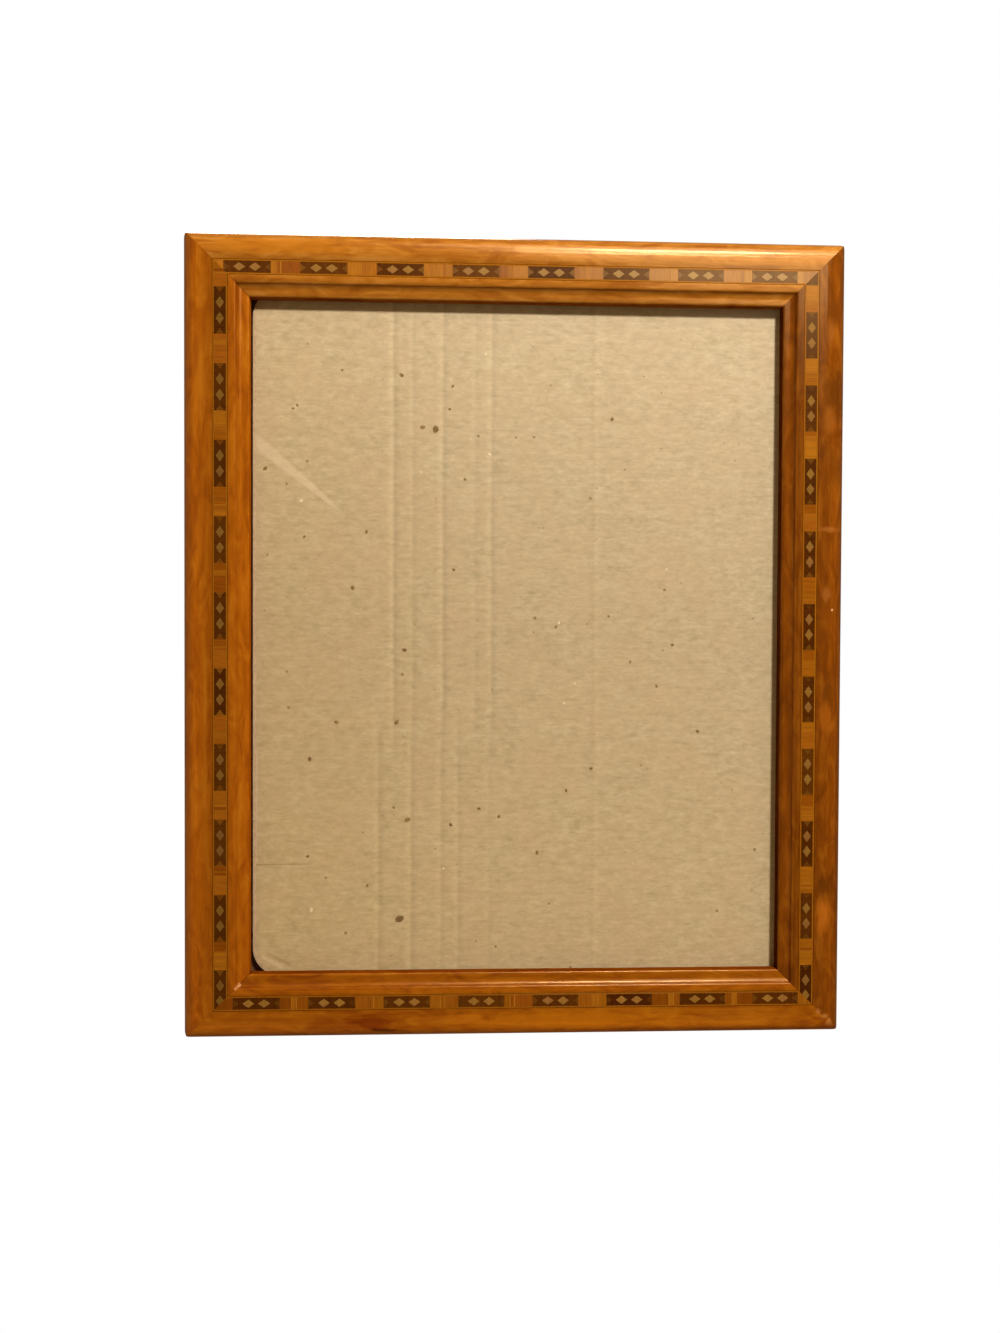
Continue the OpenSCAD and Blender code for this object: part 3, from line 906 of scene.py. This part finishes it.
@dataclass
class Mouldings:
    """The four mitred rails."""

    # the finish has rubbed through at the lower right mitre
    worn: tuple[Mark, ...] = (
        Mark(113.2, -274.8, 1.5, 1.3, "#b87a3a", 0.8), Mark(115.3, -276.8, 1.7, 1.2, "#b87a3a", 0.8),
        Mark(117.4, -279.0, 1.3, 1.6, "#b87a3a", 0.8), Mark(118.6, -280.6, 1.2, 1.2, "#a86c34", 0.7))
    # a painted glint on the lower left mitre of the step
    painted_glint: tuple[Mark, ...] = tuple(
        Mark(-102.7 + 0.6 * i, -264.1 + 0.6 * i, 0.7, 0.7, "#eeba84", 0.9) for i in range(3))
    # a yellower zone on the top rail's dome, and a painted highlight where the shine on the dome begins
    top_marks_and_highlight: tuple[Mark, ...] = (
        Mark(-90, 5.5, 34, 4, "#b8741a", 0.5), Mark(1.9, 5.6, 5, 3, "#c88a48", 0.5))
    bottom_marks: tuple[Mark, ...] = (
        Mark(-53.4, -277.3, 12, 4.6, "#742800", 0.8), Mark(-47.8, -280.6, 8, 1.4, "#4a1600", 0.8),
        Mark(-70, -278, 12, 3.6, "#7c3604", 0.55), Mark(-16.1, -275.8, 6, 2.6, "#c27418", 0.6),
        Mark(20, -277.5, 55, 6, "#c47810", 0.6), Mark(-95, -277.6, 18, 1.8, "#b06818", 0.4),
        Mark(84, -278, 26, 4.5, "#be7614", 0.55))
    left_marks: tuple[Mark, ...] = (
        Mark(-115.4, -43, 2.0, 18, "#c67e1c", 0.5), Mark(-115.9, -100, 1.8, 16, "#be7214", 0.45),
        Mark(-116.8, -34, 1.2, 11, "#86420a", 0.5), Mark(-115.2, -72, 1.4, 12, "#8a460a", 0.4))
    right_marks: tuple[Mark, ...] = (
        Mark(116.6, -15, 4, 5.5, "#643408", 0.55), Mark(115.1, -22, 2, 6, "#a0602a", 0.4),
        Mark(117.3, -44.5, 5, 11, "#5a2e06", 0.8), Mark(115.4, -54.6, 2.8, 6, "#96581c", 0.7),
        Mark(116.8, -70, 4.5, 11, "#6a3806", 0.6), Mark(115.2, -95, 6, 1.4, "#a8682c", 0.6),
        Mark(114.6, -119, 2.2, 3.4, "#a8682c", 0.5), Mark(117.1, -124.8, 0.6, 0.6, "#e0b080", 0.9),
        Mark(115.6, -155, 4.5, 6, "#623406", 0.55), Mark(114.4, -165, 3.4, 7, "#a05a14", 0.7),
        Mark(115.8, -227.6, 4.5, 7, "#542804", 0.7), Mark(114.6, -239, 3.4, 8, "#b4681a", 0.85))

    # painted light and shade: how pale each rail is painted at each distance in from its outer edge
    top_painted_light: Levels = (
        (0, 1.2), (2.5, 1.27), (3.8, 1.33), (6.5, 1.15), (8.5, 1.1), (10.5, 0.84), (16.8, 1.08), (18, 1.04),
        (19, 0.87), (20.2, 0.73), (21.5, 0.86), (22.5, 0.96), (23.3, 0.8), (24.4, 0.72))
    bottom_painted_light: Levels = (
        (0, 1.2), (1.5, 1.0), (2.5, 1.17), (3.8, 1.3), (5, 1.3), (6.5, 1.1), (8.5, 1.02), (10.5, 0.9),
        (16.8, 0.76), (18, 1.03), (18.7, 1.15), (19.6, 1.0), (21.5, 0.93), (23.2, 0.86), (24, 1.0))
    left_painted_light: Levels = (
        (0, 1.0), (2.5, 1.07), (5, 1.17), (6.5, 1.03), (8, 0.9), (10.5, 0.78), (16.8, 0.76), (18, 0.9),
        (19, 0.98), (20.4, 0.91), (21.5, 1.06), (23, 1.03), (24.3, 1.12))
    right_painted_light: Levels = (
        (0, 1.1), (2.5, 1.12), (3.8, 1.25), (5, 1.18), (6.5, 1.05), (8.5, 0.92), (10.5, 0.9), (16.8, 0.86),
        (17.8, 0.8), (18.8, 0.63), (19.6, 0.88), (21.5, 0.92), (22.7, 0.95), (23.5, 0.73), (24.4, 0.58))

    def finishes(self) -> dict[Rail, VarnishedWood]:
        """The finish of each rail: every stick was stained a little differently, and each has its own painted
        light and shade.

        Returns:
            The finishes.
        """
        return {
            Rail.TOP: VarnishedWood(
                "varnished wood top rail", "#8e5112", "#a6691e", "#b97e33", False, 0.0, self.top_marks_and_highlight,
                self.top_painted_light),
            Rail.BOTTOM: VarnishedWood(
                "varnished wood bottom rail", "#884506", "#a05a08", "#b06c12", False, 0.37,
                self.bottom_marks + self.worn + self.painted_glint, self.bottom_painted_light),
            Rail.LEFT: VarnishedWood(
                "varnished wood left rail", "#904a06", "#a65c08", "#b66e14", True, 0.71,
                self.left_marks + self.painted_glint, self.left_painted_light, painted_shade_share=0.12),
            Rail.RIGHT: VarnishedWood(
                "varnished wood right rail", "#683404", "#7e4206", "#945610", True, 1.13,
                self.right_marks + self.worn, self.right_painted_light),
        }

    def build(self, shop: Workshop) -> None:
        """Dresses the rails."""
        for rail, finish in self.finishes().items():
            shop.dress(f"rail_{rail.value}", finish)


@dataclass(frozen=True)
class BandPart:
    """One kind of piece in the inlaid bands, and how clear the varnish is over it on each rail in turn."""

    node: str
    slot: str
    tones: tuple[str, ...]
    grain: float
    clear: tuple[float, float, float, float]
    # how strongly the sheen of the light is painted on this piece on the top band
    top_painted_sheen: float = 0.0


@dataclass
class InlaidBands:
    """The stringing, the blocks with their diamonds, and the spacers of the four bands."""

    # how wide the softened edge of each piece is, in millimetres
    seam: float = 0.03
    parts: tuple[BandPart, ...] = (
        BandPart(
            "stringing", "pale_veneer", ("#965a0c", "#9e6412"), 0.15, (0.9, 0.85, 1.1, 0.95)),
        BandPart(
            "ground", "dark_veneer", ("#481f02", "#542a03", "#603406"), 0.35,
            (0.97, 0.8, 1.0, 0.85), 0.05),
        BandPart(
            "diamonds", "diamond_veneer", ("#9e7434", "#a67c38", "#a0703e"), 0.2,
            (0.84, 0.5, 0.8, 0.65), 0.2),
        BandPart(
            "half_diamonds", "olive_veneer", ("#5c3408", "#683e0c", "#744a14"), 0.3,
            (0.8, 1.1, 1.1, 0.82), 0.12),
        BandPart(
            "spacers", "orange_veneer", ("#864606", "#94540a", "#aa6c14", "#985410"), 0.25,
            (0.87, 0.9, 1.06, 0.92), 0.2),
        BandPart(
            "cross_lines", "pale_veneer", ("#9a5e0c", "#ac7220"), 0.1,
            (1.0, 0.83, 1.03, 0.86), 0.16),
    )

    def build(self, shop: Workshop) -> None:
        """Cuts every kind of veneer for every rail.

        Args:
            shop: The workshop.
        """
        for turn, rail in enumerate(Rail):
            for part in self.parts:
                node = f"{part.node}_{rail.value}"
                finish = Veneer(
                    f"varnished veneer {node.replace('_', ' ')}", part.tones, rail.upright, part.grain,
                    part.clear[turn], part.top_painted_sheen if rail is Rail.TOP else 0.0)
                shape = shop.merged_copy(node, self.seam)
                shop.new_piece(f"veneer_{node}", shape, finish, "frame", [node])


@dataclass
class Cardboard:
    """The sheet of corrugated cardboard, with its rubbed edge and the chips pressed in its face."""

    # how wide the rubbed rim is, and how far back it and the face are pressed, in millimetres
    rim: float = 1.3
    rim_sink: float = 0.3
    face_sink: float = 0.12
    # each chip is turned on from the last one, so that no two lie alike
    chip_thickness: float = 0.08
    chip_height: float = 0.7
    chip_turn: float = 1.9
    chip_growth: float = 2.6
    board: KraftBoard = KraftBoard("kraft cardboard")
    rubbed: WornPaper = WornPaper("rubbed cardboard edge", "#e0c8aa", "#ceb594")
    bark: WornPaper = WornPaper("bark chips", "#a08656", "#7a6240")
    bleached: WornPaper = WornPaper("bleached chips", "#f6ead2", "#e6d6b8")
    bark_places: tuple[Point, ...] = (
        (-35.2, -57.8, 0.9), (-30.4, -58.5, 1.3), (-43.1, -38.7, 0.8), (-93.1, -73.7, 0.8),
        (-81.4, -50.3, 0.5), (-82.9, -51.5, 0.5), (-55.9, -96.6, 0.7), (-64.9, -37.2, 0.5),
        (-24.1, -42.5, 0.6), (-61.0, -117.4, 0.8), (-41.7, -140.4, 0.8), (35.4, -53.9, 0.7),
        (-23.5, -110.5, 0.6), (14.8, -131.5, 0.6), (52.8, -153.6, 0.6), (58.7, -138.1, 0.6),
        (42.8, -144.6, 0.5), (68.5, -170.6, 0.7), (28.3, -184.6, 0.6), (18.9, -192.9, 0.6),
        (-13.8, -199.6, 0.6), (-6.3, -202.6, 0.6), (-24.3, -205.6, 0.7), (-43.3, -240.8, 1.5),
        (8.1, -216.2, 0.7), (-25.2, -51.0, 0.5), (-78.8, -98.7, 0.5), (-19.5, -76.9, 0.5),
        (-40.5, -203.7, 1.0), (-76.7, -181.0, 0.8), (-66.8, -167.3, 0.8), (-44.6, -167.3, 0.9),
        (-45.6, -199.1, 0.5), (-77.4, -217.2, 0.6), (-55.3, -228.3, 0.5))
    bleached_places: tuple[Point, ...] = (
        (-79.9, -85.4, 0.6), (-35.6, -74.5, 0.45), (-10.3, -67.5, 0.6), (-11.9, -30.5, 0.5),
        (15.9, -130.0, 0.5), (18.0, -160.1, 0.5), (-76.0, -237.2, 0.75))

    def sheet(self, shop: Workshop) -> None:
        """Makes the sheet from its solid, with a rubbed rim round its face.

        Args:
            shop: The workshop.
        """
        shape = shop.merged_copy("cardboard")
        # the largest face that looks forward
        face = max((f for f in shape.faces if f.normal.y < -0.9), key=lambda f: f.calc_area())
        ring = bmesh.ops.inset_region(shape, faces=[face], thickness=self.rim * MM)["faces"]
        inner = set(face.verts)
        outer = {v for f in ring for v in f.verts} - inner
        for corners, sink in ((inner, self.face_sink), (outer, self.rim_sink)):
            bmesh.ops.translate(shape, verts=list(corners), vec=(0.0, sink * MM, 0.0))
        for f in ring:
            f.material_index = 1
        piece = shop.new_piece(
            "cardboard_sheet", shape, self.board, "frame", ["cardboard"])
        piece.data.materials.append(material(self.rubbed))

    def chips(self, shop: Workshop, name: str, finish: WornPaper, places: Iterable[Point]) -> None:
        """Presses chips in the face of the sheet.

        Args:
            shop: The workshop.
            name: The name of the piece.
            finish: Its finish.
            places: Across, up and width of each chip, in millimetres.
        """
        front = max(v.co.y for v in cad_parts["glass"].data.vertices) + self.face_sink * MM
        shape = bmesh.new()
        for i, (across, up, width) in enumerate(places):
            reach = 0.5 * self.chip_growth * width * MM
            chip = bmesh.ops.create_icosphere(shape, subdivisions=1, radius=reach)["verts"]
            flat = Matrix.Diagonal((1.0, self.chip_thickness / width, self.chip_height, 1.0))
            turn = Matrix.Rotation(self.chip_turn * i, 4, "Y")
            place = Matrix.Translation((across * MM, front, up * MM))
            bmesh.ops.transform(shape, verts=chip, matrix=place @ turn @ flat)
        shop.new_piece(name, shape, finish, "frame")

    def build(self, shop: Workshop) -> None:
        """Makes the sheet and its chips.

        Args:
            shop: The workshop.
        """
        self.sheet(shop)
        self.chips(shop, "bark_chips", self.bark, self.bark_places)
        self.chips(shop, "bleached_chips", self.bleached, self.bleached_places)


@dataclass
class Backing:
    """The glass in front of the cardboard and the panel behind it."""

    def build(self, shop: Workshop) -> None:
        """Dresses the two sheets."""
        shop.dress("glass", PictureGlass("picture glass"))
        shop.dress("back_panel", Hardboard("hardboard"))


@dataclass
class Fittings:
    """The turn buttons, the hanger, and their screws and nails."""

    softened: float = 0.18
    zinc: PlatedSteel = PlatedSteel("zinc-plated steel", "#c3c6c8", "#b6b9bb")
    brass: PlatedSteel = PlatedSteel("brass-plated steel", "#c9a75e", "#bf9b52")
    iron: PlatedSteel = PlatedSteel("bare nail steel", "#8d9093", "#828486", 0.4)

    def build(self, shop: Workshop) -> None:
        """Makes the stamped pieces with softened edges and dresses the turned ones.

        Args:
            shop: The workshop.
        """
        for side in ("left", "right"):
            for end in ("upper", "lower"):
                node = f"turn_button_{side}_{end}"
                shape = shop.merged_copy(node, self.softened, 2)
                shop.new_piece(f"stamped_{node}", shape, self.zinc, node, [node])
        shape = shop.merged_copy("hanger", self.softened, 2)
        shop.new_piece("stamped_hanger", shape, self.brass, "frame", ["hanger"])
        for node in ("button_screws", "hanger_nails"):
            shop.dress(node, self.brass)
        shop.dress("corner_nails", self.iron)


@dataclass(frozen=True)
class Lamp:
    """An area lamp: where it hangs, its power, its width and height, its colour and what it lights."""

    name: str
    place: Point
    watts: float
    size: tuple[float, float]
    colour: str
    glossy: bool = True
    diffuse: bool = True


@dataclass
class Studio:
    """The floor, the light and the camera."""

    # the camera stands 0.46 m in front of the frame, a little left of its middle
    camera_place: Point = (-0.0302, -0.4713, -0.1362)
    camera_aim: Point = (-0.006153, -0.0079, -0.14638)
    camera_roll: float = 0.2534
    lens_mm: float = 33.62
    floor_drop: float = 1.3
    floor_width: float = 2.8
    lamps: tuple[Lamp, ...] = (
        Lamp("key lamp", (0.24, -0.68, 0.30), 7.0, (0.08, 0.08), "#fff1dc", glossy=False),
        # two bright shapes that show in the varnish, and light nothing else
        Lamp("high window", (0.2, -0.47, 0.645), 4.2, (0.22, 0.14), "#fffaf0", diffuse=False),
        Lamp("lit wall", (0.26, -0.5, 0.5), 5.3, (0.42, 0.9), "#fff4e2", diffuse=False),
        Lamp("rear lamp", (-0.25, 0.9, 0.6), 14.0, (0.6, 0.6), "#fff6ea"),
        # what a pale floor throws back up on the frame
        Lamp("light off the floor", (0.0, 0.0, -1.29), 9.8, (2.8, 2.8), "#ffdaaa", glossy=False))
    lamp_aim: Point = (0.0, 0.0, -0.136)
    # the room is bright on one side and dim on the other
    room_colour: str = "#ffd294"
    room_side: Point = (-0.6, 0.0, 0.8)
    room_levels: Span = (0.06, 0.42)

    @staticmethod
    def aimed(place: Point, aim: Point) -> Matrix:
        """Where a camera or a lamp stands that looks at a point."""
        turn = (Vector(aim) - Vector(place)).to_track_quat("-Z", "Y").to_matrix().to_4x4()
        return Matrix.Translation(place) @ turn

    def camera(self) -> None:
        """Sets the camera up where the photograph was taken."""
        data = bpy.data.cameras.new("camera")
        data.sensor_width = 36.0
        data.lens = self.lens_mm
        data.clip_start = 0.01
        camera = add_object("camera", data)
        roll = Matrix.Rotation(math.radians(self.camera_roll), 4, "Z")
        camera.matrix_world = self.aimed(self.camera_place, self.camera_aim) @ roll
        bpy.context.scene.camera = camera

    def hang(self, lamp: Lamp) -> None:
        """Hangs a lamp up.

        Args:
            lamp: The lamp.
        """
        data = bpy.data.lights.new(lamp.name, "AREA")
        data.shape = "RECTANGLE"
        data.size, data.size_y = lamp.size
        data.energy = lamp.watts
        data.color = srgb(lamp.colour)[:3]
        hung = add_object(lamp.name, data)
        hung.matrix_world = self.aimed(lamp.place, self.lamp_aim)
        hung.visible_camera = False
        hung.visible_glossy = lamp.glossy
        hung.visible_diffuse = lamp.diffuse

    def surroundings(self) -> None:
        """A plain white background, and a dim warm room that lights the frame from all sides."""
        world = bpy.data.worlds.new("studio")
        world.use_nodes = True
        tree = world.node_tree
        tree.nodes.clear()
        where = add_node(tree, "TexCoord").outputs["Generated"]
        side = add_node(tree, "VectorMath", {0: where, 1: self.room_side}, operation="DOT_PRODUCT")
        level = add_node(tree, "MapRange", {0: side, 1: -1.0, **ends(self.room_levels, 3)})
        room = add_node(tree, "Background", {"Color": srgb(self.room_colour), "Strength": level})
        sheet = add_node(tree, "Background", {"Color": grey(1.0)})
        seen = add_node(tree, "LightPath").outputs["Is Camera Ray"]
        mixed = add_node(tree, "MixShader", {0: seen, 1: room, 2: sheet})
        add_node(tree, "OutputWorld", {"Surface": mixed})
        bpy.context.scene.world = world

    def floor(self) -> None:
        """A plain pale floor, well below the frame, which hangs above it."""
        shape = bmesh.new()
        bmesh.ops.create_grid(shape, x_segments=1, y_segments=1, size=self.floor_width / 2)
        bmesh.ops.translate(shape, verts=shape.verts, vec=(0.0, 0.0, -self.floor_drop))
        mesh = bpy.data.meshes.new("floor")
        shape.to_mesh(mesh)
        shape.free()
        mesh.materials.append(PaleFloor("pale floor").build())
        floor = add_object("floor", mesh)
        floor.visible_diffuse = False
        floor.visible_glossy = False

    def build(self) -> None:
        """Sets the whole studio up."""
        bpy.context.scene.view_settings.view_transform = "Standard"
        self.camera()
        self.surroundings()
        self.floor()
        for lamp in self.lamps:
            self.hang(lamp)
        LOG.info("the studio is set up")


def main() -> None:
    """Builds the frame's pieces in order, then the studio."""
    shop = Workshop()
    for assembly in (Mouldings(), InlaidBands(), Cardboard(), Backing(), Fittings()):
        assembly.build(shop)
        LOG.info("%s done", type(assembly).__name__)
    Studio().build()


if __name__ == "__main__":
    main()
